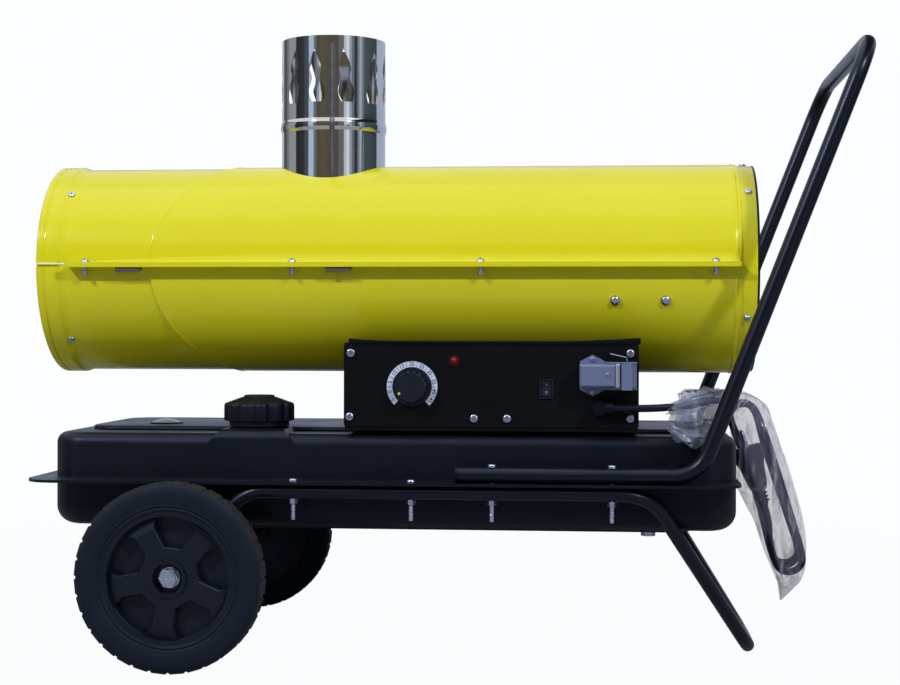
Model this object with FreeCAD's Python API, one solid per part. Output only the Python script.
import FreeCAD, Part
import math
import os

# Oil-fired space heater on a wheeled tank, in millimetres.
# +Z is up, +X points from the warm-air outlet to the handle, +Y points away from the control panel.
# The origin lies on the floor, midway along and across the heater.
# Lengths along X are counted from the outlet end and moved to the origin by place().

V = FreeCAD.Vector
X_AXIS = V(1, 0, 0)
Y_AXIS = V(0, 1, 0)
Z_AXIS = V(0, 0, 1)
ORIGIN = V(0, 0, 0)

# Driving dimensions: stance and handle
wheel_r = 100
axle_x = 179
handle_top_x = 904
handle_top_z = 661
handle_tube_d = 17
frame_tube_d = 15
tube_wall = 1.5
tube_y = 193
overall_length = handle_top_x + handle_tube_d / 2

# Driving dimensions: casing
casing_length = 795
casing_axis_z = 430
casing_r = 118.5
front_step = 1.5
sheet = 1.2
outlet_collar_length = 25
outlet_collar_rise = 2.5
rear_collar_length = 17
nose_x = 130
nose_r = 127
seam_x0 = 37
seam_reach = 133
lip_height = 5.4
collar_gap = 2
collar_groove_x = 9
collar_groove_r = 1.6
collar_groove_depth = 1

# Driving dimensions: flue
flue_x = 316.3
flue_r = 60
flue_sheet = 0.8
flue_top_z = 693
bead_z = 593
bead_rise = 1.5
bead_arc_r = 16
slot_z0 = 618
slot_height = 60
slot_count = 11
first_slot_angle = 23.3

# Driving dimensions: tank
tank_x0 = 28.7
tank_x1 = 771.7
tank_half_y = 160
tank_sheet = 1.5
seam_z = 197.5
shoulder_z = 247
plateau_z = 251.5
tank_bottom_z = 140
tank_floor_z = 146
flange_x0 = 11.7
flange_x1 = 774
flange_half_y = 205
cap_x = 252
cap_y = -115
gauge_x = 128.7
gauge_y = -40

# Driving dimensions: control box
box_x0 = 352.7
box_x1 = 667.2
panel_y = -160
box_back_y = 120
panel_z0 = 256
panel_z1 = 344
panel_sheet = 1.5
knob_x, knob_z = 426.3, 298.5
lamp_x, lamp_z = 471.5, 326.5
switch_x, switch_z = 569.8, 297.2
gland_x, gland_z = 625.3, 277

# Clearances
running_fit = 0.05
slip = 0.3
hole_slack = 0.25

# Cord
cord_d = 8

# Worked-out sizes
origin_shift = -overall_length / 2
frame_tube_z = seam_z - tank_sheet - frame_tube_d / 2
handle_tube_z = seam_z + tank_sheet + handle_tube_d / 2
axle_z = wheel_r
front_r = casing_r - front_step
bore_front_r = front_r - sheet
bore_rear_r = casing_r - sheet
rear_collar_r = front_r
seam_x1 = casing_length - 18
panel_back_y = panel_y + panel_sheet

# Details: casing
flange_screw_x = (58, 290, 497, casing_length - 45)
flange_screw_y = 126
flange_screw_d = 5
clip_x = (107, 341)
clip_width = 28
bracket_screw_drop = 38.5
end_screw_angle = 44
shell_screw_d = 4

# Details: rear guard
guard_wire_d = 3
guard_spoke_d = 4
guard_ring_r = (22, 38, 54, 70, 86, 100)
guard_spokes = 6
guard_x = casing_length - 4
guard_edge = 2.5

# Details: motor, fan and pump
shaft_d = 12
fan_r = 106
fan_hub_r = 26
fan_blades = 5
fan_blade_half = 26
fan_pitch = 32
fan_x1 = casing_length - 33
fan_x0 = fan_x1 - 24
motor_r = 50
motor_foot_z = casing_axis_z - 51
motor_x1 = fan_x0 - 26
motor_x0 = motor_x1 - 86
coupling_x1 = motor_x0 - 3
coupling_x0 = coupling_x1 - 14
pump_r = 30
pump_x1 = coupling_x0 - 5
pump_x0 = pump_x1 - 44
suction_pipe_d = 8
suction_pipe_x = pump_x0 + 23
pressure_pipe_d = 6
bracket_screw_x = (motor_x0 + 16, motor_x1 - 15)

# Details: burner
holder_x1 = pump_x0 - 19
holder_x0 = holder_x1 - 29
burner_x1 = holder_x1 + 7
burner_x0 = burner_x1 - 53
flame_disc_x = burner_x0 + 10
electrode_y = 16
electrode_z = 14

# Details: flue and combustion chamber
chamber_r = 78
chamber_sheet = 1.5
chamber_x0 = 95
chamber_x1 = burner_x0 + 25
burner_tube_r = 46
spigot_top_z = 575
chamber_leg_x = (chamber_x0 + 137, chamber_x1 - 38)

# Details: control box
screw_spots = ((360.4, 334.4), (359, 266.2), (492.7, 265), (527.9, 265), (658.3, 334.8), (658.3, 266))
panel_screw_d = 5
front_lip_h = 4
panel_corner_r = 2.5
switch_w, switch_h = 15, 21
rocker_w, rocker_h = 10, 16
rocker_pin_r = 1.5
rocker_pin_reach = 1.2
rocker_pivot_y = panel_y + 1
lid_rise = 1.5
casing_seat = casing_r + 0.2
knob_r = 20.5
knob_skirt = 4
knob_depth = 18
knob_gap = 1
knob_shaft_d = 6
knob_flutes = 16

# Details: connector
socket_x0, socket_x1 = 605, 643
socket_z0, socket_z1 = 299.5, 323.5
socket_front_y = panel_y - 27
socket_chamfer = 2
hood_x0, hood_x1 = 647, 664.5
lever_pivot_x = 636
lever_pivot_y = panel_y - 16
lever_sheet = 2
lever_gap = 0.6
ear_x, ear_half_x = 618.4, 13.2
ear_low_z, ear_high_z = 289.5, 333.5
ear_slope = 7
ear_plate = 3
ear_screw_d = 3
ear_screw_spots = ((ear_x, ear_high_z - 5), (ear_x, ear_low_z + 5))
lever_x0, lever_x1, lever_end_x = 649, 660, 665
gland_exit_x = 641
gland_y = panel_y - 12

# Details: frame, handle and fasteners
frame_front_x = 253
frame_rear_x = 678
foot_x = 791.7
foot_half_y = 56
foot_z = frame_tube_d / 2
handle_front_x = 479
handle_corner_x = 728.5
sleeve_r = 11
sleeve_half = 10.3
axle_d = 12
axle_washer_r = 11
axle_nut_w = 18
axle_nut_h = 6.5
hub_inner_y = 204
bolt_end_z = 159
nut_h = 5

# Details: tank
plan_r = 35
top_edge_r = 12
floor_edge_r = 20
plateau_half_y = 100
plateau_x0, plateau_x1 = 52, 745
floor_panel_x0, floor_panel_x1 = 66, 730
floor_panel_half_y = 110
pad_half_x = 34
pad_ramp = 14
bolt_x = (304, handle_front_x - 50, handle_front_x + 35, handle_front_x + 160)
handle_bolt_x = bolt_x[2:]
bolt_d = 5
bolt_head_d = 9.5
bolt_head_h = 3.2
nut_w = 8.5
neck_r = 27
neck_wall = 3
neck_top_z = 268
drain_x, drain_y = 680, -60
cap_r = 38.5
cap_rim_z = 259
cap_top_z = 279
cap_dome_z = 285.5
cap_skirt_r = 33
cap_dome_r = 34
cap_disc_r = 16.5
cap_z0 = plateau_z + 1.5
cap_flutes = 12
cap_wall = 0.6
gasket_h = 2.8
gauge_r = 15
float_pivot_z = 236
float_arm = 95
float_droop = 25

# Details: wheels
tyre_y0 = 207
tyre_y1 = 237
rim_r = 70
web_y0 = 211
web_y1 = 231
pocket_floor_y = 218
pocket_bevel = 1.5
pocket_outer_r = 64.5
pocket_corners = ((32, 8.7), (50, 21.4), (67, 22.5))
first_pocket_angle = 83
dip_r0, dip_r1 = 52, 64.5
dip_depth = 3.5
dip_half = 20
hub_r = 19.5
hub_outer_y = 234
recess_r = 16
recess_y = 222
window_count = 5
axle_end_y = 233
sidewall_groove_r = 76
sidewall_groove = 1.2
tyre_shoulder_r = 6

# Details: cord, hank and plug
cord_route = [(633, -172, 277), (674, -172, 277), (707, -166, 279), (735, -143, 282), (744, -110, 284),
              (734, -75, 284), (727, -38, 283), (735, -4, 281), (759, 17, 279), (796, 19, 278)]
hank_top = V(796, 0, 262)
hank_low = V(844, 0, 108)
hank_bend = 16
hank_pitch = 9
hank_loops = 3
hank_y = 19
plug_y = -36
tail = 64
plug_relief = 18
plug_body = 50
plug_r = 17
plug_pin_d = 4.8
plug_pin_gap = 19


def place(x, y, z):
    """A point given from the outlet end, in the part's frame."""
    return V(x + origin_shift, y, z)


def box(x0, x1, y0, y1, z0, z1):
    return Part.makeBox(x1 - x0, y1 - y0, z1 - z0, place(x0, y0, z0))


def cyl_x(r, x0, x1, y=0.0, z=casing_axis_z):
    return Part.makeCylinder(r, x1 - x0, place(x0, y, z), X_AXIS)


def cyl_y(r, y0, y1, x, z):
    return Part.makeCylinder(r, y1 - y0, place(x, y0, z), Y_AXIS)


def cyl_z(r, z0, z1, x, y=0.0):
    return Part.makeCylinder(r, z1 - z0, place(x, y, z0), Z_AXIS)


def fuse(shapes):
    """One solid from touching or overlapping pieces."""
    joined = shapes[0]
    if len(shapes) > 1:
        joined = joined.multiFuse(shapes[1:])
    return joined.removeSplitter()


def cut_all(shape, tools):
    return shape.cut(Part.makeCompound(tools))


def other_side(shape):
    """The mirror image on the far side."""
    return shape.mirror(ORIGIN, Y_AXIS)


def both_sides(shapes):
    return Part.makeCompound(list(shapes) + [other_side(s) for s in shapes])


def turned(shape, x, y, z, axis, angle):
    """A copy turned about an axis through a point given from the outlet end."""
    copy = shape.copy()
    copy.rotate(place(x, y, z), axis, angle)
    return copy


def edges_along(shape, axis, length):
    """Straight edges of a shape that run along an axis with the given length."""
    found = []
    for edge in shape.Edges:
        if isinstance(edge.Curve, Part.Line) and abs(edge.Length - length) < 0.01:
            direction = edge.tangentAt(edge.FirstParameter)
            if abs(direction.dot(axis)) > 0.999:
                found.append(edge)
    return found


def edges_at_z(shape, z):
    """Edges that lie wholly at one height."""
    return [e for e in shape.Edges
            if abs(e.BoundBox.ZMin - z) < 0.01 and abs(e.BoundBox.ZMax - z) < 0.01]


def prism_hex(across_flats, height, base, axis):
    """A hexagonal prism from a base point along an axis."""
    r = across_flats / math.sqrt(3)
    corners = [V(r * math.cos(math.radians(60 * i)), r * math.sin(math.radians(60 * i)), 0)
               for i in range(7)]
    prism = Part.Face(Part.makePolygon(corners)).extrude(V(0, 0, height))
    prism.Placement = FreeCAD.Placement(base, FreeCAD.Rotation(Z_AXIS, axis))
    return prism


def pan_screw(d, head_d, head_h, length, base, axis):
    """A pan-head screw with a cross recess: base is under the head, axis points out of the head."""
    head = Part.makeCylinder(head_d / 2, head_h)
    head = head.makeFillet(head_h * 0.55, edges_at_z(head, head_h))
    recess_w = head_d * 0.12
    recess_l = head_d * 0.55
    for size_x, size_y in ((recess_l, recess_w), (recess_w, recess_l)):
        recess = Part.makeBox(size_x, size_y, head_h, V(-size_x / 2, -size_y / 2, head_h * 0.55))
        head = head.cut(recess)
    shank = Part.makeCylinder(d / 2, length + head_h * 0.2, V(0, 0, -length))
    screw = head.fuse(shank).removeSplitter()
    screw.Placement = FreeCAD.Placement(base, FreeCAD.Rotation(Z_AXIS, axis))
    return screw


def rounded_wire(points, radii):
    """A wire of straight runs with tangent arcs of the given radii at its inner points."""
    edges = []
    start = points[0]
    for before, corner, after, radius in zip(points, points[1:], points[2:], radii):
        into = (corner - before).normalize()
        out = (after - corner).normalize()
        turn = into.getAngle(out)
        reach = radius * math.tan(turn / 2)
        first = corner - into * reach
        last = corner + out * reach
        inward = (out - into).normalize()
        middle = corner + inward * (radius / math.cos(turn / 2) - radius)
        edges.append(Part.LineSegment(start, first).toShape())
        edges.append(Part.Arc(first, middle, last).toShape())
        start = last
    edges.append(Part.LineSegment(start, points[-1]).toShape())
    return Part.Wire(edges)


def swept_tube(wire, r):
    """A round bar along a wire."""
    edge = wire.Edges[0]
    start = edge.valueAt(edge.FirstParameter)
    heading = edge.tangentAt(edge.FirstParameter)
    circle = Part.Wire(Part.makeCircle(r, start, heading))
    return wire.makePipeShell([circle], True, False)


def hollow_tube(wire, d, wall):
    return swept_tube(wire, d / 2).cut(swept_tube(wire, d / 2 - wall))


# Casing

def casing_form(shrink):
    """The casing's filled outline, drawn in by the sheet thickness for its inside."""
    front = cyl_x(front_r - shrink, -shrink * 10, casing_length + shrink * 10)
    centre_x = nose_x + nose_r
    body_end = casing_length - rear_collar_length - shrink
    body = cyl_x(casing_r - shrink, 0, body_end)
    nose = cyl_y(nose_r - shrink, -200, 200, centre_x, casing_axis_z)
    back = box(centre_x, casing_length, -200, 200, casing_axis_z - 150, casing_axis_z + 150)
    return front.fuse(body.common(nose.fuse(back)))


def outlet_collar():
    collar_r = front_r + outlet_collar_rise
    collar = cyl_x(collar_r, 0, outlet_collar_length)
    rims = [e for e in collar.Edges if isinstance(e.Curve, Part.Circle)]
    collar = collar.makeFillet(outlet_collar_rise * 0.9, rims)
    groove_path_r = collar_r + collar_groove_r - collar_groove_depth
    groove = Part.makeTorus(groove_path_r, collar_groove_r, place(collar_groove_x, 0, casing_axis_z), X_AXIS)
    return collar.cut(groove)


def side_flange(z0, z1, reach):
    plate = box(seam_x0, seam_x1, bore_front_r - 2, reach, z0, z1)
    return [plate, other_side(plate)]


def flange_holes():
    r = flange_screw_d / 2 + hole_slack
    near = [cyl_z(r, casing_axis_z - 5, casing_axis_z + 5, x, -flange_screw_y) for x in flange_screw_x]
    return near + [other_side(h) for h in near]


def shell_screw_places():
    """Places and outward directions of the small screws round the ends and at the motor bracket."""
    seats = []
    for side in (-1, 1):
        for x in bracket_screw_x:
            angle = math.asin(bracket_screw_drop / casing_r)
            seats.append((x, casing_r, side * math.cos(angle), -math.sin(angle)))
        for lift in (-end_screw_angle, end_screw_angle):
            angle = math.radians(lift)
            seats.append((outlet_collar_length + 5, front_r, side * math.cos(angle), math.sin(angle)))
            seats.append((casing_length - 8, rear_collar_r, side * math.cos(angle), math.sin(angle)))
    seats.append((casing_length - 8, rear_collar_r, 0, 1))
    return seats


def shell_screw_holes():
    holes = []
    for x, r, y, z in shell_screw_places():
        start = place(x, y * (r - 8), casing_axis_z + z * (r - 8))
        holes.append(Part.makeCylinder(shell_screw_d / 2 + hole_slack, 12, start, V(0, y, z)))
    return holes


def casing_halves():
    """The upper and lower shells; the lower starts as the upper's mirror image."""
    z = casing_axis_z
    half = casing_form(0).fuse(outlet_collar()).common(box(-10, casing_length + 10, -200, 200, z, z + 200))
    lip = box(seam_x0, seam_x1, seam_reach - sheet, seam_reach, z - lip_height / 2 + 0.6,
              z + lip_height / 2 + 0.6)
    upper = fuse([half] + side_flange(z, z + sheet, seam_reach) + [lip, other_side(lip)])
    lower = fuse([half.mirror(place(0, 0, z), Z_AXIS)] + side_flange(z - sheet, z, seam_reach - 2.5))
    split = box(-1, seam_x0 - 3, -200, 200, z - collar_gap / 2, z + collar_gap / 2)
    flue_hole = cyl_z(flue_r + 1, z, z + 200, flue_x)
    pipe_hole = cyl_z(suction_pipe_d / 2 + 1, z - 200, z, suction_pipe_x)
    openings = [casing_form(sheet), split] + flange_holes() + shell_screw_holes()
    return cut_all(upper, openings + [flue_hole]), cut_all(lower, openings + [pipe_hole])


def flange_screws():
    seat = casing_axis_z + sheet
    return both_sides([pan_screw(flange_screw_d, 9, 3.2, 12, place(x, -flange_screw_y, seat), Z_AXIS)
                       for x in flange_screw_x])


def edge_clips():
    """Dark spring clips that grip the lower flange's edge."""
    z = casing_axis_z - sheet
    clips = [box(x - clip_width / 2, x + clip_width / 2, -seam_reach + 3.5, -bore_rear_r - 3.5, z - 4, z)
             for x in clip_x]
    return both_sides(clips)


def shell_screws():
    return Part.makeCompound([
        pan_screw(shell_screw_d, 8, 2.4, 5, place(x, y * r, casing_axis_z + z * r), V(0, y, z))
        for x, r, y, z in shell_screw_places()])


# Rear guard

def rear_guard():
    """Rim inside the rear collar, with an edge over the sheet, wire rings and spokes."""
    rim_r = rear_collar_r - sheet - slip
    rim = cyl_x(rim_r, casing_length - 15, casing_length + guard_edge)
    edge = cyl_x(rear_collar_r, casing_length, casing_length + guard_edge)
    bore = cyl_x(rim_r - 2, casing_length - 16, casing_length + 5)
    pieces = [rim.fuse(edge).cut(bore), cyl_x(16, guard_x - 2, guard_x + 2)]
    for r in guard_ring_r:
        pieces.append(Part.makeTorus(r, guard_wire_d / 2, place(guard_x, 0, casing_axis_z), X_AXIS))
    for i in range(guard_spokes):
        spoke = cyl_z(guard_spoke_d / 2, casing_axis_z + 10, casing_axis_z + rim_r - 1, guard_x)
        pieces.append(turned(spoke, guard_x, 0, casing_axis_z, X_AXIS, i * 360 / guard_spokes))
    return cut_all(fuse(pieces), shell_screw_holes())


# Flue and combustion chamber

def flue_slot(angle, lean):
    """One vase-shaped cut-out, as a radial prism: a wide foot, a neck, a shoulder and a point."""
    half_widths = ((0, 6.5), (0.1, 9), (0.25, 9.3), (0.46, 5), (0.62, 7), (0.8, 4.8))
    left = [V(-w + lean * t * 4, -flue_r - 5, slot_z0 + t * slot_height) for t, w in half_widths]
    right = [V(w + lean * t * 4, -flue_r - 5, slot_z0 + t * slot_height) for t, w in half_widths]
    tip = V(lean * 4, -flue_r - 5, slot_z0 + slot_height)
    rising = Part.BSplineCurve()
    rising.interpolate(left + [tip])
    falling = Part.BSplineCurve()
    falling.interpolate([tip] + right[::-1])
    foot = Part.LineSegment(right[0], left[0])
    outline = Part.Wire([foot.toShape(), rising.toShape(), falling.toShape()])
    prism = Part.Face(outline).extrude(V(0, 20, 0))
    prism.rotate(ORIGIN, Z_AXIS, angle)
    prism.translate(place(flue_x, 0, 0))
    return prism


def flue_terminal():
    foot_z = casing_axis_z + 100
    tube = cyl_z(flue_r, foot_z, flue_top_z, flue_x)
    bead = Part.makeTorus(flue_r + bead_rise - bead_arc_r, bead_arc_r, place(flue_x, 0, bead_z), Z_AXIS)
    bore = cyl_z(flue_r - flue_sheet, foot_z - 1, flue_top_z + 1, flue_x)
    shell = tube.fuse(bead).cut(bore)
    slots = [flue_slot(first_slot_angle + i * 360 / slot_count, 1 if i % 2 else -1)
             for i in range(slot_count)]
    return cut_all(shell, slots)


def chamber_profile(inset):
    """Half outline of the drum, a domed front and an open back, drawn in by the sheet."""
    r = chamber_r - inset
    tip = place(chamber_x0 + inset, 0, casing_axis_z)
    bulge = place(chamber_x0 + 8 + inset, 0, casing_axis_z + r * 0.58)
    rim = place(chamber_x0 + 30 + inset * 0.5, 0, casing_axis_z + r)
    back = place(chamber_x1 + inset, 0, casing_axis_z + r)
    foot = place(chamber_x1 + inset, 0, casing_axis_z)
    edges = [Part.Arc(tip, bulge, rim).toShape()]
    for a, b in ((rim, back), (back, foot), (foot, tip)):
        edges.append(Part.LineSegment(a, b).toShape())
    return Part.Face(Part.Wire(edges)).revolve(place(0, 0, casing_axis_z), X_AXIS, 360)


def combustion_chamber():
    outside = chamber_profile(0)
    inside = chamber_profile(chamber_sheet)
    spigot_r = flue_r - flue_sheet - slip
    spigot = cyl_z(spigot_r, casing_axis_z, spigot_top_z, flue_x)
    back_plate = cyl_x(chamber_r, chamber_x1 - chamber_sheet, chamber_x1)
    legs = []
    for x in chamber_leg_x:
        leg = box(x, x + 18, -1, 1, casing_axis_z + chamber_r - 1, casing_axis_z + bore_rear_r - 0.2)
        legs += [turned(leg, x, 0, casing_axis_z, X_AXIS, a) for a in (0, 120, 240)]
    solid = fuse([outside, spigot] + legs)
    hollow = inside.fuse(cyl_z(spigot_r - chamber_sheet, casing_axis_z, spigot_top_z + 1, flue_x))
    burner_hole = cyl_x(burner_tube_r + slip, chamber_x1 - 10, chamber_x1 + 10)
    return solid.cut(hollow).fuse(back_plate).cut(burner_hole).removeSplitter()


# Burner

def burner_tube():
    tube = cyl_x(burner_tube_r, burner_x0, burner_x1)
    collar = cyl_x(burner_tube_r + 12, chamber_x1, chamber_x1 + 2)
    return tube.fuse(collar).cut(cyl_x(burner_tube_r - 1.5, burner_x0 - 1, burner_x1 + 1))


def flame_disc():
    disc = cyl_x(burner_tube_r - 1.7, flame_disc_x, flame_disc_x + 2).cut(
        cyl_x(13, flame_disc_x - 1, flame_disc_x + 3))
    slot = box(flame_disc_x - 1, flame_disc_x + 3, -1.5, 1.5, casing_axis_z + 20, casing_axis_z + 38)
    return cut_all(disc, [turned(slot, flame_disc_x, 0, casing_axis_z, X_AXIS, i * 45) for i in range(8)])


def electrode_rods(r, x0, x1):
    return [cyl_x(r, x0, x1, y, casing_axis_z + electrode_z) for y in (-electrode_y, electrode_y)]


def nozzle_holder():
    """Nozzle, holder and the spider that centres it in the burner tube."""
    tip = Part.makeCone(3, 7, 6, place(holder_x0 - 6, 0, casing_axis_z), X_AXIS)
    body = cyl_x(9, holder_x0, holder_x1)
    clamp = box(holder_x0 + 8, holder_x0 + 18, -22, 22, casing_axis_z + 6, casing_axis_z + 20)
    arms = []
    for angle in (60, 180, 300):
        arm = box(holder_x1 - 8, holder_x1 - 4, -3, 3, casing_axis_z + 6, casing_axis_z + burner_tube_r - 1.7)
        arms.append(turned(arm, holder_x1, 0, casing_axis_z, X_AXIS, angle))
    rod_holes = electrode_rods(3 + hole_slack, holder_x0 + 3, holder_x1 - 1)
    bored = cut_all(fuse([tip, body, clamp] + arms), rod_holes)
    return bored.cut(cyl_x(pressure_pipe_d / 2 + hole_slack, holder_x1 - 5, holder_x1 + 1))


def electrodes():
    rods = []
    for ceramic, wire in zip(electrode_rods(3, holder_x0 + 1, holder_x1 + 4),
                             electrode_rods(1, holder_x0 - 4, holder_x0 + 2)):
        rods.append(fuse([ceramic, wire]))
    return Part.makeCompound(rods)


# Motor, fan and pump

def fan_motor():
    body = cyl_x(motor_r, motor_x0 + 6, motor_x1 - 6)
    bell = cyl_x(motor_r - 8, motor_x0, motor_x1)
    foot = box(motor_x0 + 14, motor_x1 - 14, -32, 32, motor_foot_z, casing_axis_z - 35)
    bore = cyl_x(shaft_d / 2 + running_fit, motor_x0 - 1, motor_x1 + 1)
    return fuse([body, bell, foot]).cut(bore)


def motor_bracket():
    """A shelf under the motor with side tabs that follow the casing wall."""
    tab_r = bore_rear_r - 0.2
    ring = cyl_x(tab_r, motor_x0 - 2, motor_x1 + 2).cut(cyl_x(tab_r - 2, motor_x0 - 3, motor_x1 + 3))
    tabs = ring.common(box(motor_x0 - 5, motor_x1 + 5, -200, 200, motor_foot_z - 2, casing_axis_z - 24))
    reach = math.sqrt((tab_r - 1) ** 2 - (casing_axis_z - motor_foot_z) ** 2)
    shelf = box(motor_x0 - 2, motor_x1 + 2, -reach, reach, motor_foot_z - 2, motor_foot_z)
    return cut_all(fuse([tabs, shelf]), shell_screw_holes())


def motor_shaft():
    return cyl_x(shaft_d / 2, pump_x1 + 2, fan_x1 + 6)


def fan():
    """A hub with pitched blades, bored to sit on the shaft."""
    middle = (fan_x0 + fan_x1) / 2
    hub = cyl_x(fan_hub_r, fan_x0, fan_x1)
    blades = []
    for i in range(fan_blades):
        blade = box(middle - 1, middle + 1, -fan_blade_half, fan_blade_half,
                    casing_axis_z + fan_hub_r - 4, casing_axis_z + fan_r)
        blade = turned(blade, middle, 0, casing_axis_z, Z_AXIS, fan_pitch)
        blades.append(turned(blade, middle, 0, casing_axis_z, X_AXIS, i * 360 / fan_blades))
    swept = fuse([hub] + blades).common(cyl_x(fan_r, fan_x0 - 20, fan_x1 + 20))
    return swept.cut(cyl_x(shaft_d / 2 + running_fit, fan_x0 - 1, fan_x1 + 1))


def pump_coupling():
    sleeve = cyl_x(13, coupling_x0, coupling_x1)
    return sleeve.cut(cyl_x(shaft_d / 2 + running_fit, coupling_x0 - 1, coupling_x1 + 1))


def fuel_pump():
    """Pump body with a valve block on top and three pillars to the motor."""
    body = cyl_x(pump_r, pump_x0, pump_x1)
    block = box(pump_x0 + 6, pump_x1 - 6, -14, 14, casing_axis_z, casing_axis_z + pump_r + 12)
    pillars = []
    for angle in (30, 150, 270):
        pillar = cyl_x(4, pump_x1 - 2, motor_x0, 0, casing_axis_z + pump_r - 6)
        pillars.append(turned(pillar, pump_x0, 0, casing_axis_z, X_AXIS, angle))
    ports = [cyl_z(suction_pipe_d / 2 + hole_slack, casing_axis_z - pump_r - 1, casing_axis_z - pump_r + 6,
                   suction_pipe_x),
             cyl_x(pressure_pipe_d / 2 + hole_slack, pump_x0 - 1, pump_x0 + 6)]
    return cut_all(fuse([body, block] + pillars), ports)


def suction_pipe():
    foot_z = tank_floor_z + 10
    head_z = casing_axis_z - pump_r + 5
    outer = cyl_z(suction_pipe_d / 2, foot_z, head_z, suction_pipe_x)
    return outer.cut(cyl_z(suction_pipe_d / 2 - 1, foot_z - 1, head_z + 1, suction_pipe_x))


def pressure_pipe():
    outer = cyl_x(pressure_pipe_d / 2, holder_x1 - 4, pump_x0 + 5)
    return outer.cut(cyl_x(pressure_pipe_d / 2 - 1, holder_x1 - 5, pump_x0 + 6))


# Control box

def control_box():
    """An open sheet box whose end walls are hollowed to carry the casing."""
    x0, x1 = box_x0 + 1, box_x1 - 1
    outer = box(x0, x1, panel_back_y, box_back_y, plateau_z, panel_z1)
    inner = box(x0 + sheet, x1 - sheet, panel_back_y - 1, box_back_y - sheet, plateau_z + sheet, panel_z1 + 1)
    walls = outer.cut(inner)
    corner_w = 16
    tabs = []
    for x, z in screw_spots:
        left = min(max(x - corner_w / 2, x0), x1 - corner_w)
        low = z < (panel_z0 + panel_z1) / 2
        z0, z1 = (plateau_z, z + 7) if low else (z - 7, panel_z1)
        tabs.append(box(left, left + corner_w, panel_back_y, panel_back_y + sheet, z0, z1))
    front_lip = box(x0, x1, panel_back_y, panel_back_y + sheet, plateau_z, panel_z0 + front_lip_h)
    solid = fuse([walls, front_lip] + tabs)
    seat = cyl_x(casing_seat, 0, casing_length)
    pipe_hole = cyl_z(suction_pipe_d / 2 + 1, plateau_z - 1, plateau_z + 5, suction_pipe_x)
    return cut_all(solid, [seat, pipe_hole] + panel_screw_holes())


def box_lid():
    near = box(box_x0, box_x1, panel_y, 0, panel_z1, panel_z1 + lid_rise)
    far = box(box_x0, box_x1, 0, box_back_y, panel_z1, panel_z1 + lid_rise)
    seat = cyl_x(casing_seat, 0, casing_length)
    return Part.makeCompound([near.cut(seat), far.cut(seat)])


def panel_screw_holes():
    r = panel_screw_d / 2 + hole_slack
    return [cyl_y(r, panel_y - 2, panel_y + 6, x, z) for x, z in screw_spots]


def control_panel():
    plate = box(box_x0, box_x1, panel_y, panel_back_y, panel_z0, panel_z1)
    plate = plate.makeFillet(panel_corner_r, edges_along(plate, Y_AXIS, panel_sheet))
    y0, y1 = panel_y - 1, panel_back_y + 1
    switch_hole = box(switch_x - switch_w / 2 + 1, switch_x + switch_w / 2 - 1, y0, y1,
                      switch_z - switch_h / 2 + 1, switch_z + switch_h / 2 - 1)
    socket_hole = box(socket_x0 + 3, socket_x1 - 3, y0, y1, socket_z0 + 3, socket_z1 - 3)
    round_holes = [cyl_y(4, y0, y1, knob_x, knob_z), cyl_y(4.7, y0, y1, lamp_x, lamp_z),
                   cyl_y(6.5, y0, y1, gland_x, gland_z)]
    screw_holes = panel_screw_holes() + connector_screw_holes()
    return cut_all(plate, [switch_hole, socket_hole] + round_holes + screw_holes)


def panel_screws():
    return Part.makeCompound([pan_screw(panel_screw_d, 9, 2.8, 8, place(x, panel_y, z), V(0, -1, 0))
                              for x, z in screw_spots])


def thermostat():
    body = cyl_y(19, panel_back_y, panel_back_y + 32, knob_x, knob_z)
    bush = cyl_y(3.8, panel_y - 0.5, panel_back_y + 2, knob_x, knob_z)
    shaft = cyl_y(knob_shaft_d / 2, panel_y - 13, panel_back_y, knob_x, knob_z)
    return fuse([body, bush, shaft])


def thermostat_knob():
    back = panel_y - knob_gap
    front = back - knob_depth
    skirt = cyl_y(knob_r, back - knob_skirt, back, knob_x, knob_z)
    grip = Part.makeCone(knob_r - 3, knob_r - 5, knob_depth - knob_skirt,
                         place(knob_x, back - knob_skirt, knob_z), V(0, -1, 0))
    flutes = []
    for i in range(knob_flutes):
        flute = cyl_y(2, front - 1, back - knob_skirt, knob_x, knob_z + knob_r - 3)
        flutes.append(turned(flute, knob_x, 0, knob_z, Y_AXIS, i * 360 / knob_flutes))
    bore = cyl_y(knob_shaft_d / 2 + running_fit, panel_y - 13.5, panel_y, knob_x, knob_z)
    return cut_all(fuse([skirt, grip]), flutes + [bore])


def pilot_lamp():
    bezel = cyl_y(5.3, panel_y - 1.5, panel_y, lamp_x, lamp_z)
    lens = Part.makeSphere(4.2, place(lamp_x, panel_y - 1.5, lamp_z))
    stem = cyl_y(4.5, panel_y - 1, panel_y + 22, lamp_x, lamp_z)
    return fuse([bezel, lens, stem])


def rocker_pin(r):
    reach = rocker_w / 2 + rocker_pin_reach
    return cyl_x(r, switch_x - reach, switch_x + reach, rocker_pivot_y, switch_z)


def switch_frame():
    bezel = box(switch_x - switch_w / 2, switch_x + switch_w / 2, panel_y - 2, panel_y,
                switch_z - switch_h / 2, switch_z + switch_h / 2)
    body = box(switch_x - switch_w / 2 + 1.2, switch_x + switch_w / 2 - 1.2, panel_y, panel_y + 22,
               switch_z - switch_h / 2 + 1.2, switch_z + switch_h / 2 - 1.2)
    well = box(switch_x - rocker_w / 2 - 0.6, switch_x + rocker_w / 2 + 0.6, panel_y - 3, panel_y + 10,
               switch_z - rocker_h / 2 - 0.8, switch_z + rocker_h / 2 + 0.8)
    return cut_all(bezel.fuse(body), [well, rocker_pin(rocker_pin_r + running_fit)])


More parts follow.
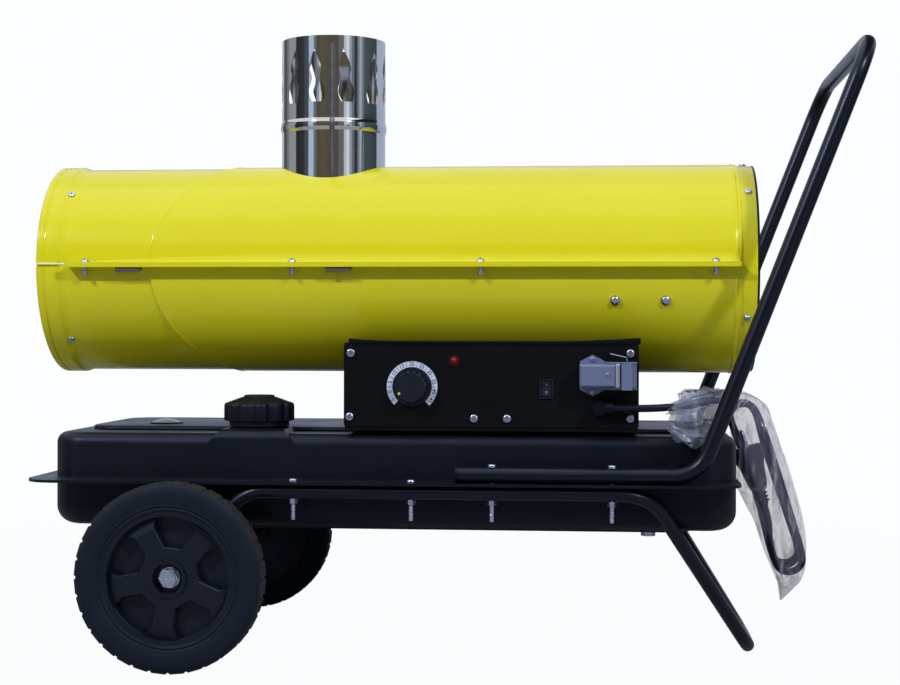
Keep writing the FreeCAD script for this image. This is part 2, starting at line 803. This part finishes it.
def switch_rocker():
    """A key with a shallow hollow face, turning about a level pivot just behind the panel."""
    x0, x1 = switch_x - rocker_w / 2, switch_x + rocker_w / 2
    half = rocker_h / 2
    outline = [place(x0, panel_y - 3.2, switch_z - half), place(x0, panel_y - 2, switch_z),
               place(x0, panel_y - 3.2, switch_z + half), place(x0, panel_y + 2, switch_z + half - 1),
               place(x0, panel_y + 6, switch_z), place(x0, panel_y + 2, switch_z - half + 1)]
    key = Part.Face(Part.makePolygon(outline + outline[:1])).extrude(V(x1 - x0, 0, 0))
    return fuse([key, rocker_pin(rocker_pin_r)])


# Connector

def connector_screw_holes():
    r = ear_screw_d / 2 + hole_slack
    return [cyl_y(r, panel_y - ear_plate - 1, panel_y + 8, x, z) for x, z in ear_screw_spots]


def connector_ears():
    """A plate on the panel with a gabled ear above and below."""
    x0, x1 = ear_x - ear_half_x, ear_x + ear_half_x
    low, high = ear_low_z + ear_slope, ear_high_z - ear_slope
    outline = [(x0, low), (ear_x, ear_low_z), (x1, low), (x1, high), (ear_x, ear_high_z),
               (x0, high), (x0, low)]
    face = Part.Face(Part.makePolygon([place(x, panel_y - ear_plate, z) for x, z in outline]))
    return face.extrude(V(0, ear_plate, 0))


def connector_base():
    """Housing on a plate, with round bosses that carry the lever."""
    body = box(socket_x0, socket_x1, socket_front_y, panel_y, socket_z0, socket_z1)
    front = [e for e in body.Edges if e.BoundBox.YMax < socket_front_y + 0.01]
    body = body.makeChamfer(socket_chamfer, front)
    throat = box(socket_x0 + 4, socket_x1 - 4, panel_back_y - 4, panel_y + 10, socket_z0 + 4, socket_z1 - 4)
    pins = cyl_z(3, socket_z0 - lever_gap - lever_sheet, socket_z1 + lever_gap + lever_sheet,
                 lever_pivot_x, lever_pivot_y)
    gasket = box(socket_x1, hood_x0, panel_y - 24, panel_y - 4, socket_z0 - 0.5, socket_z1 + 0.5)
    return cut_all(fuse([connector_ears(), body, throat, pins, gasket]), connector_screw_holes())


def connector_hood():
    body = box(hood_x0, hood_x1, panel_y - 26, panel_y - 2, socket_z0, socket_z1)
    return body.makeFillet(4, edges_along(body, Z_AXIS, socket_z1 - socket_z0))


def connector_screws():
    return Part.makeCompound([pan_screw(ear_screw_d, 5, 2, 8, place(x, panel_y - ear_plate, z), V(0, -1, 0))
                              for x, z in ear_screw_spots])


def connector_lever():
    """Two arms on the housing's pins, joined by a plate in front of the hood."""
    front = socket_front_y - 4.5
    low = socket_z0 - lever_gap - lever_sheet
    high = socket_z1 + lever_gap + lever_sheet
    arms = []
    for z in (low, high - lever_sheet):
        eye = cyl_z(6, z, z + lever_sheet, lever_pivot_x, lever_pivot_y)
        bar = box(lever_pivot_x, lever_end_x, lever_pivot_y - 6, lever_pivot_y + 4, z, z + lever_sheet)
        reach = box(lever_x0, lever_x1, front, lever_pivot_y + 4, z, z + lever_sheet)
        arms += [eye, bar, reach]
    plate = box(lever_x0, lever_x1, front, front + lever_sheet, low, high)
    pin_hole = cyl_z(3 + running_fit, low - 1, high + 1, lever_pivot_x, lever_pivot_y)
    return fuse(arms + [plate]).cut(pin_hole)


def cable_gland():
    """An elbow gland: a hex foot on the panel and a nozzle along X with the cord's bore."""
    foot = prism_hex(17, 6, place(gland_x, panel_y, gland_z), V(0, -1, 0))
    riser = cyl_y(7, gland_y - 7, panel_y - 5, gland_x, gland_z)
    stem = cyl_y(6, panel_y - 1, panel_y + 12, gland_x, gland_z)
    nozzle = cyl_x(7, gland_x, gland_exit_x, gland_y, gland_z)
    bore = cyl_x(cord_d / 2 + slip, gland_x, gland_exit_x + 1, gland_y, gland_z)
    return fuse([foot, riser, stem, nozzle]).cut(bore)


def control_unit():
    return box(565, 650, 20, 90, plateau_z + sheet, plateau_z + sheet + 36)


def ignition_transformer():
    body = box(400, 480, 20, 90, plateau_z + sheet, plateau_z + sheet + 40)
    posts = [cyl_z(5, plateau_z + 40, plateau_z + 52, 440, y) for y in (72, 84)]
    return fuse([body] + posts)


# Tank

def rounded_block(x0, x1, half_y, z0, z1, plan_r):
    """A block with rounded upright corners."""
    block = box(x0, x1, -half_y, half_y, z0, z1)
    return block.makeFillet(plan_r, edges_along(block, Z_AXIS, z1 - z0))


def filler_pad(t):
    """A flat under the filler with ramped ends, rounded over at the front like the tank's shoulder."""
    low, high = shoulder_z - pad_ramp, plateau_z - t
    x0, x1 = cap_x - pad_half_x + t, cap_x + pad_half_x - t
    run = pad_ramp + 4
    sides = [place(x, -tank_half_y, z) for x, z in ((x0 - run, low), (x0, high), (x1, high), (x1 + run, low))]
    ramped = Part.Face(Part.makePolygon(sides + sides[:1])).extrude(V(0, tank_half_y, 0))
    slab = box(x0 - run, x1 + run, -tank_half_y + t, 0, seam_z + 20, high)
    front = [e for e in edges_at_z(slab, high) if e.BoundBox.YMax < -tank_half_y + t + 0.01]
    return ramped.common(slab.makeFillet(top_edge_r - t, front))


def tank_top_form(inset):
    """The upper half's filled outline: a rounded body, a plateau and the filler's pad."""
    t = inset
    body = rounded_block(tank_x0 + t, tank_x1 - t, tank_half_y - t, seam_z, shoulder_z - t, plan_r - t)
    body = body.makeFillet(top_edge_r - t, edges_at_z(body, shoulder_z - t))
    plateau = rounded_block(plateau_x0 + t, plateau_x1 - t, plateau_half_y - t,
                            seam_z + 20, plateau_z - t, plan_r - t)
    plateau = plateau.makeFillet(3 - t, edges_at_z(plateau, plateau_z - t))
    return fuse([body, plateau, filler_pad(t)])


def tank_bottom_form(inset):
    """The lower half's filled outline: a rounded body with a deeper floor panel."""
    t = inset
    body = rounded_block(tank_x0 + t, tank_x1 - t, tank_half_y - t, tank_floor_z + t, seam_z, plan_r - t)
    body = body.makeFillet(floor_edge_r - t, edges_at_z(body, tank_floor_z + t))
    panel = rounded_block(floor_panel_x0 + t, floor_panel_x1 - t, floor_panel_half_y - t,
                          tank_bottom_z + t, seam_z - 10, plan_r - t)
    panel = panel.makeFillet(3 - t, edges_at_z(panel, tank_bottom_z + t))
    return fuse([body, panel])


def flange_plate(z0):
    plate = rounded_block(flange_x0, flange_x1, flange_half_y, z0, z0 + tank_sheet, plan_r)
    holes = [cyl_z(bolt_d / 2 + hole_slack, z0 - 1, z0 + 5, x, -tube_y) for x in bolt_x]
    return cut_all(plate, holes + [other_side(h) for h in holes])


def tank_upper():
    shell = fuse([tank_top_form(0), flange_plate(seam_z)]).cut(tank_top_form(tank_sheet))
    openings = [cyl_z(neck_r + slip, 230, 260, cap_x, cap_y),
                cyl_z(gauge_r + slip, 230, 260, gauge_x, gauge_y),
                cyl_z(suction_pipe_d / 2 + 0.5, 230, 260, suction_pipe_x)]
    return cut_all(shell, openings)


def tank_lower():
    shell = fuse([tank_bottom_form(0), flange_plate(seam_z - tank_sheet)]).cut(tank_bottom_form(tank_sheet))
    return shell.cut(cyl_z(5 + hole_slack, tank_bottom_z - 1, tank_bottom_z + 5, drain_x, drain_y))


def drain_plug():
    head = prism_hex(14, 7, place(drain_x, drain_y, tank_bottom_z - 9), Z_AXIS)
    washer = cyl_z(9, tank_bottom_z - 2, tank_bottom_z, drain_x, drain_y)
    return fuse([head, washer, cyl_z(5, tank_bottom_z - 3, tank_bottom_z + 8, drain_x, drain_y)])


def filler_neck():
    tube = cyl_z(neck_r, plateau_z - 8, neck_top_z, cap_x, cap_y)
    seat = cyl_z(neck_r + 6, plateau_z, plateau_z + 1, cap_x, cap_y)
    return tube.fuse(seat).cut(cyl_z(neck_r - neck_wall, plateau_z - 9, neck_top_z + 1, cap_x, cap_y))


def filler_strainer():
    r = neck_r - neck_wall - 0.2
    cup = cyl_z(r, 190, neck_top_z - 1, cap_x, cap_y)
    return cup.cut(cyl_z(r - 0.8, 191, neck_top_z, cap_x, cap_y))


def fuel_cap():
    """A fluted rim on a plain skirt over the neck, with a low dome and a raised middle."""
    skirt = cyl_z(cap_skirt_r, cap_z0, cap_rim_z + 1, cap_x, cap_y)
    rim = cyl_z(cap_r, cap_rim_z, cap_top_z, cap_x, cap_y)
    rim = rim.makeFillet(3, edges_at_z(rim, cap_top_z))
    dome = Part.makeCone(cap_dome_r, cap_disc_r + 2, cap_dome_z - cap_top_z + 1,
                         place(cap_x, cap_y, cap_top_z - 1), Z_AXIS)
    disc = cyl_z(cap_disc_r, cap_dome_z - 1, cap_dome_z + 2, cap_x, cap_y)
    disc = disc.makeFillet(1.5, edges_at_z(disc, cap_dome_z + 2))
    flutes = []
    for i in range(cap_flutes):
        flute = cyl_z(5, cap_rim_z - 1, cap_top_z + 1, cap_x, cap_y - cap_r - 2.6)
        flutes.append(turned(flute, cap_x, cap_y, 0, Z_AXIS, (i + 0.5) * 360 / cap_flutes))
    hollow = cyl_z(neck_r + cap_wall, cap_z0 - 1, neck_top_z + gasket_h + 0.4, cap_x, cap_y)
    seat_room = cyl_z(neck_r + 6.6, cap_z0 - 1, cap_z0 + 0.5, cap_x, cap_y)
    return cut_all(fuse([skirt, rim, dome, disc]), flutes + [hollow, seat_room])


def cap_gasket():
    z0 = neck_top_z + 0.2
    ring = cyl_z(neck_r + 0.2, z0, z0 + gasket_h, cap_x, cap_y)
    return ring.cut(cyl_z(neck_r - neck_wall, z0 - 1, z0 + 5, cap_x, cap_y))


def gauge_body():
    """A cup through the tank top with two ears that hold the float's pin."""
    cup = cyl_z(gauge_r, float_pivot_z - 8, plateau_z + 1, gauge_x, gauge_y)
    rim = cyl_z(gauge_r + 4, plateau_z, plateau_z + 1.5, gauge_x, gauge_y)
    bore = cyl_z(gauge_r - 2, float_pivot_z - 9, plateau_z + 3, gauge_x, gauge_y)
    slot = box(gauge_x, gauge_x + 30, gauge_y - 5, gauge_y + 5, float_pivot_z - 9, plateau_z - 3)
    pin = cyl_y(1.5, gauge_y - gauge_r + 1, gauge_y + gauge_r - 1, gauge_x, float_pivot_z)
    return cup.fuse(rim).cut(bore).cut(slot).fuse(pin).removeSplitter()


def gauge_lens():
    dome_rise = 4
    dome_r = (16 ** 2 + dome_rise ** 2) / (2 * dome_rise)
    base_z = plateau_z + 1.5
    ball = Part.makeSphere(dome_r, place(gauge_x, gauge_y, base_z + dome_rise - dome_r))
    inner = Part.makeSphere(dome_r - 1.5, place(gauge_x, gauge_y, base_z + dome_rise - dome_r))
    cap = cyl_z(16, base_z, base_z + dome_rise + 1, gauge_x, gauge_y)
    return ball.common(cap).cut(inner)


def gauge_float():
    """An arm from the pin to the float, and a small flag under the lens."""
    eye = cyl_y(4, gauge_y - 4, gauge_y + 4, gauge_x, float_pivot_z)
    arm = cyl_x(1.5, gauge_x, gauge_x + float_arm, gauge_y, float_pivot_z)
    bob = cyl_y(13, gauge_y - 22, gauge_y + 22, gauge_x + float_arm, float_pivot_z)
    lever = turned(fuse([eye, arm, bob]), gauge_x, gauge_y, float_pivot_z, Y_AXIS, float_droop)
    flag = box(gauge_x - 2, gauge_x + 2, gauge_y - 4, gauge_y + 4, float_pivot_z, plateau_z)
    hole = cyl_y(1.5 + running_fit, gauge_y - 30, gauge_y + 30, gauge_x, float_pivot_z)
    return lever.fuse(flag).cut(hole).removeSplitter()


# Frame, handle and fasteners

def bolt_holes():
    near = [cyl_z(bolt_d / 2 + hole_slack, frame_tube_z - 20, handle_tube_z + 20, x, -tube_y) for x in bolt_x]
    return near + [other_side(h) for h in near]


def support_frame():
    """One bent tube: axle sleeve, side run, slanting leg, short foot and the same again."""
    near = [place(axle_x, -tube_y, axle_z), place(frame_front_x, -tube_y, frame_tube_z),
            place(frame_rear_x, -tube_y, frame_tube_z), place(foot_x, -foot_half_y, foot_z)]
    far = [V(p.x, -p.y, p.z) for p in reversed(near)]
    radii = (45, 50, 40, 40, 50, 45)
    tube = hollow_tube(rounded_wire(near + far, radii), frame_tube_d, tube_wall)
    sleeve = cyl_y(sleeve_r, -tube_y - sleeve_half, -tube_y + sleeve_half, axle_x, axle_z)
    bore = cyl_y(axle_d / 2 + hole_slack, -240, 240, axle_x, axle_z)
    return cut_all(fuse([tube, sleeve, other_side(sleeve)]), [bore] + bolt_holes())


def handle():
    """A bent tube: side run on the flange, slope to the cross bar and the same again."""
    near = [place(handle_front_x, -tube_y, handle_tube_z), place(handle_corner_x, -tube_y, handle_tube_z),
            place(handle_top_x, -tube_y, handle_top_z)]
    far = [V(p.x, -p.y, p.z) for p in reversed(near)]
    tube = hollow_tube(rounded_wire(near + far, (40, 45, 45, 40)), handle_tube_d, tube_wall)
    return cut_all(tube, bolt_holes())


def handle_caps():
    """Plugs in the handle's lower ends."""
    r = handle_tube_d / 2
    head = cyl_x(r + 0.3, handle_front_x - 3, handle_front_x, -tube_y, handle_tube_z + 0.3)
    stem = cyl_x(r - tube_wall - 0.1, handle_front_x - 1, handle_front_x + 12, -tube_y, handle_tube_z)
    return both_sides([fuse([head, stem])])


def frame_bolts():
    bolts = []
    for x in bolt_x:
        seat = handle_tube_z + handle_tube_d / 2 if x in handle_bolt_x else seam_z + tank_sheet
        shank = seat - bolt_end_z
        bolts.append(pan_screw(bolt_d, bolt_head_d, bolt_head_h, shank, place(x, -tube_y, seat), Z_AXIS))
    return both_sides(bolts)


def frame_nuts():
    top = frame_tube_z - frame_tube_d / 2
    nuts = []
    for x in bolt_x:
        nut = prism_hex(nut_w, nut_h, place(x, -tube_y, top - nut_h), Z_AXIS)
        nuts.append(nut.cut(cyl_z(bolt_d / 2 + running_fit, top - 10, top + 1, x, -tube_y)))
    return both_sides(nuts)


# Wheels

def axle():
    return cyl_y(axle_d / 2, -axle_end_y, axle_end_y, axle_x, axle_z)


def axle_nuts():
    base = recess_y + 0.3
    face = -base - 1 - axle_nut_h
    washer = cyl_y(axle_washer_r, -base - 1.5, -base, axle_x, axle_z)
    nut = prism_hex(axle_nut_w, axle_nut_h, place(axle_x, -base - 1, axle_z), V(0, -1, 0))
    collar = cyl_y(axle_nut_w / 2 - 1, face - 2.5, face + 1, axle_x, axle_z)
    bore = cyl_y(axle_d / 2 + running_fit, -240, -200, axle_x, axle_z)
    return both_sides([fuse([washer, nut, collar]).cut(bore)])


def wheel_pocket(angle):
    """A blind window between two spokes, narrow at the hub and closed by an arc on the outside."""
    outline = [(r, -s) for r, s in pocket_corners] + list(pocket_corners[::-1])
    corners = [place(axle_x + r, -tyre_y1 - 5, axle_z + s) for r, s in outline]
    prism = Part.Face(Part.makePolygon(corners + corners[:1])).extrude(V(0, tyre_y1 + 5 - pocket_floor_y, 0))
    prism = prism.common(cyl_y(pocket_outer_r, -tyre_y1 - 5, -tyre_y0, axle_x, axle_z))
    return turned(prism, axle_x, 0, axle_z, Y_AXIS, -angle)


def spoke_dip(angle):
    """A shallow ramp at a spoke's outer end, deepest at the rim."""
    side = [(dip_r0, -web_y1 - 1), (dip_r0, -web_y1), (dip_r1, -web_y1 + dip_depth), (dip_r1, -web_y1 - 1)]
    corners = [place(axle_x + r, y, axle_z - dip_half) for r, y in side]
    ramp = Part.Face(Part.makePolygon(corners + corners[:1])).extrude(V(0, 0, 2 * dip_half))
    return turned(ramp, axle_x, 0, axle_z, Y_AXIS, -angle)


def wheel_rim():
    """A band, a pocketed disc with ramped spoke ends, and a hub with a recess for the nut."""
    band = cyl_y(rim_r - 0.2, -tyre_y1 + 3, -tyre_y0 - 3, axle_x, axle_z)
    band = band.cut(cyl_y(rim_r - 5, -tyre_y1, -tyre_y0, axle_x, axle_z))
    web = cyl_y(rim_r - 3, -web_y1, -web_y0, axle_x, axle_z)
    step = 360 / window_count
    pockets = [wheel_pocket(first_pocket_angle + step * i) for i in range(window_count)]
    web = cut_all(web, pockets)
    rims = [e for e in web.Edges if e.BoundBox.YMax < -web_y1 + 0.01 and e.BoundBox.DiagonalLength < rim_r]
    web = web.makeChamfer(pocket_bevel, rims)
    dips = [spoke_dip(first_pocket_angle + step * (i + 0.5)) for i in range(window_count)]
    hub = cyl_y(hub_r, -hub_outer_y, -hub_inner_y, axle_x, axle_z)
    recess = cyl_y(recess_r, -tyre_y1, -recess_y, axle_x, axle_z)
    bore = cyl_y(axle_d / 2 + running_fit, -240, -200, axle_x, axle_z)
    return cut_all(fuse([band, cut_all(web, dips), hub]), [recess, bore])


def tyre():
    """A ring with rounded shoulders and a groove round each sidewall."""
    ring = cyl_y(wheel_r, -tyre_y1, -tyre_y0, axle_x, axle_z)
    rims = [e for e in ring.Edges if isinstance(e.Curve, Part.Circle)]
    ring = ring.makeFillet(tyre_shoulder_r, rims)
    grooves = [Part.makeTorus(sidewall_groove_r, sidewall_groove, place(axle_x, -y, axle_z), Y_AXIS)
               for y in (tyre_y0, tyre_y1)]
    bore = cyl_y(rim_r, -tyre_y1 - 1, -tyre_y0 + 1, axle_x, axle_z)
    return cut_all(ring, grooves + [bore])


# Cord, hank and plug

def hank_axes():
    """Along the hank downwards, and across it to the right."""
    along = (hank_low - hank_top).normalize()
    across = V(-along.z, 0, along.x)
    return along, across


def mains_cord():
    """The free stretch, on straight runs and tangent arcs."""
    points = [place(*p) for p in cord_route]
    radii = []
    for a, b, c in zip(points, points[1:], points[2:]):
        half_turn = (b - a).getAngle(c - b) / 2
        radii.append(0.45 * min((b - a).Length, (c - b).Length) / math.tan(half_turn))
    wire = rounded_wire(points, radii)
    tube = swept_tube(wire, cord_d / 2)
    print("cord length %.1f, least bend %.1f, volume ratio %.4f"
          % (wire.Length, min(radii), tube.Volume / (wire.Length * math.pi * cord_d ** 2 / 4)))
    return tube


def half_turn(centre, start, through, y):
    """A half turn in the hank's plane from one side to the other."""
    shift = V(0, y, 0)
    return Part.Arc(centre + start + shift, centre + through + shift, centre - start + shift).toShape()


def drift_run(start, end, along):
    """A run that moves sideways on two equal tangent arcs."""
    middle = (start + end) * 0.5
    arcs = []
    for a, b, heading in ((start, middle, along), (end, middle, along * -1)):
        chord = b - a
        sideways = chord - heading * chord.dot(heading)
        radius = chord.Length ** 2 / (2 * sideways.Length)
        centre = a + sideways.normalize() * radius
        through = centre + ((a + b) * 0.5 - centre).normalize() * radius
        ends = (a, b) if heading is along else (b, a)
        arcs.append(Part.Arc(ends[0], through, ends[1]).toShape())
    return arcs


def hank_wire():
    """From the free stretch round the loops to the plug."""
    along, across = hank_axes()
    top = place(*hank_top)
    low = place(*hank_low)
    side = across * hank_bend
    end = along * hank_bend
    y = hank_y
    first = top + V(0, y, hank_bend)
    entry_way = (V(0, 0, 1) + across).normalize() * hank_bend
    edges = [Part.Arc(first, top + entry_way + V(0, y, 0), top + side + V(0, y, 0)).toShape()]
    for loop in range(hank_loops):
        last = loop == hank_loops - 1
        next_y = plug_y if last else y - hank_pitch
        low_y = (y + plug_y) / 2 if last else y
        if last:
            edges += drift_run(top + side + V(0, y, 0), low + side + V(0, low_y, 0), along)
        else:
            edges.append(Part.LineSegment(top + side + V(0, y, 0), low + side + V(0, y, 0)).toShape())
        edges.append(half_turn(low, side, end, low_y))
        head = low - side - along * tail if last else top - side
        edges += drift_run(low - side + V(0, low_y, 0), head + V(0, next_y, 0), along * -1)
        if not last:
            edges.append(half_turn(top, side * -1, end * -1, next_y))
        y = next_y
    return Part.Wire(edges)


def least_gap(wire):
    """The smallest air gap between stretches of the tube that aren't neighbours along it."""
    step = 2.5
    points = wire.discretize(Distance=step)
    near = int(30 / step)
    least = min((p - q).Length for i, p in enumerate(points) for q in points[i + near:])
    return least - cord_d


def mains_cord_hank():
    wire = hank_wire()
    tube = swept_tube(wire, cord_d / 2)
    print("hank length %.1f, least gap %.2f, volume ratio %.4f"
          % (wire.Length, least_gap(wire), tube.Volume / (wire.Length * math.pi * cord_d ** 2 / 4)))
    return tube


def mains_plug():
    """A round two-pin plug with a ribbed strain relief, at the hank's upper left end."""
    along, across = hank_axes()
    up = along * -1
    start = place(*hank_low) - across * hank_bend + up * tail + V(0, plug_y, 0)
    pieces = [Part.makeCone(5.2, 6.5, plug_relief, start, up)]
    for i in range(4):
        pieces.append(Part.makeCylinder(7.5, 2, start + up * (3 + i * 4), up))
    neck = start + up * (plug_relief - 1)
    pieces.append(Part.makeCone(9, plug_r - 2, 22, neck, up))
    pieces.append(Part.makeCylinder(plug_r, plug_body - 22, neck + up * 22, up))
    face = neck + up * plug_body
    for side in (-1, 1):
        pin = face + V(0, side * plug_pin_gap / 2, 0) - up
        pieces.append(Part.makeCylinder(plug_pin_d / 2, 20, pin, up))
    bore = Part.makeCylinder(cord_d / 2 + slip, 6, start - up, up)
    return fuse(pieces).cut(bore)


casing_upper_solid, casing_lower_solid = casing_halves()
rim_near = wheel_rim()
tyre_near = tyre()

nodes = {
    "casing_upper": casing_upper_solid,
    "casing_lower": casing_lower_solid,
    "casing_screws": flange_screws(),
    "casing_clips": edge_clips(),
    "shell_screws": shell_screws(),
    "rear_guard": rear_guard(),
    "combustion_chamber": combustion_chamber(),
    "flue_terminal": flue_terminal(),
    "burner_tube": burner_tube(),
    "flame_disc": flame_disc(),
    "nozzle_holder": nozzle_holder(),
    "electrodes": electrodes(),
    "fan_motor": fan_motor(),
    "motor_bracket": motor_bracket(),
    "motor_shaft": motor_shaft(),
    "fan": fan(),
    "fuel_pump": fuel_pump(),
    "pump_coupling": pump_coupling(),
    "pressure_pipe": pressure_pipe(),
    "suction_pipe": suction_pipe(),
    "control_box": control_box(),
    "box_lid": box_lid(),
    "control_panel": control_panel(),
    "panel_screws": panel_screws(),
    "thermostat": thermostat(),
    "thermostat_knob": thermostat_knob(),
    "pilot_lamp": pilot_lamp(),
    "switch_frame": switch_frame(),
    "switch_rocker": switch_rocker(),
    "connector_base": connector_base(),
    "connector_hood": connector_hood(),
    "connector_screws": connector_screws(),
    "connector_lever": connector_lever(),
    "cable_gland": cable_gland(),
    "control_unit": control_unit(),
    "ignition_transformer": ignition_transformer(),
    "tank_upper": tank_upper(),
    "tank_lower": tank_lower(),
    "filler_neck": filler_neck(),
    "filler_strainer": filler_strainer(),
    "fuel_cap": fuel_cap(),
    "cap_gasket": cap_gasket(),
    "gauge_body": gauge_body(),
    "gauge_lens": gauge_lens(),
    "gauge_float": gauge_float(),
    "drain_plug": drain_plug(),
    "support_frame": support_frame(),
    "handle": handle(),
    "handle_caps": handle_caps(),
    "frame_bolts": frame_bolts(),
    "frame_nuts": frame_nuts(),
    "axle": axle(),
    "axle_nuts": axle_nuts(),
    "wheel_near": rim_near,
    "tyre_near": tyre_near,
    "wheel_far": other_side(rim_near),
    "tyre_far": other_side(tyre_near),
    "mains_cord": mains_cord(),
    "mains_cord_hank": mains_cord_hank(),
    "mains_plug": mains_plug(),
}

os.makedirs("parts", exist_ok=True)
for name, shape in nodes.items():
    shape.exportStep("parts/%s.step" % name)
    b = shape.BoundBox
    print("%-22s solids %2d valid %s  x %7.1f %7.1f  y %7.1f %7.1f  z %7.1f %7.1f"
          % (name, len(shape.Solids), shape.isValid(), b.XMin, b.XMax, b.YMin, b.YMax, b.ZMin, b.ZMax))
print("nodes", len(nodes))
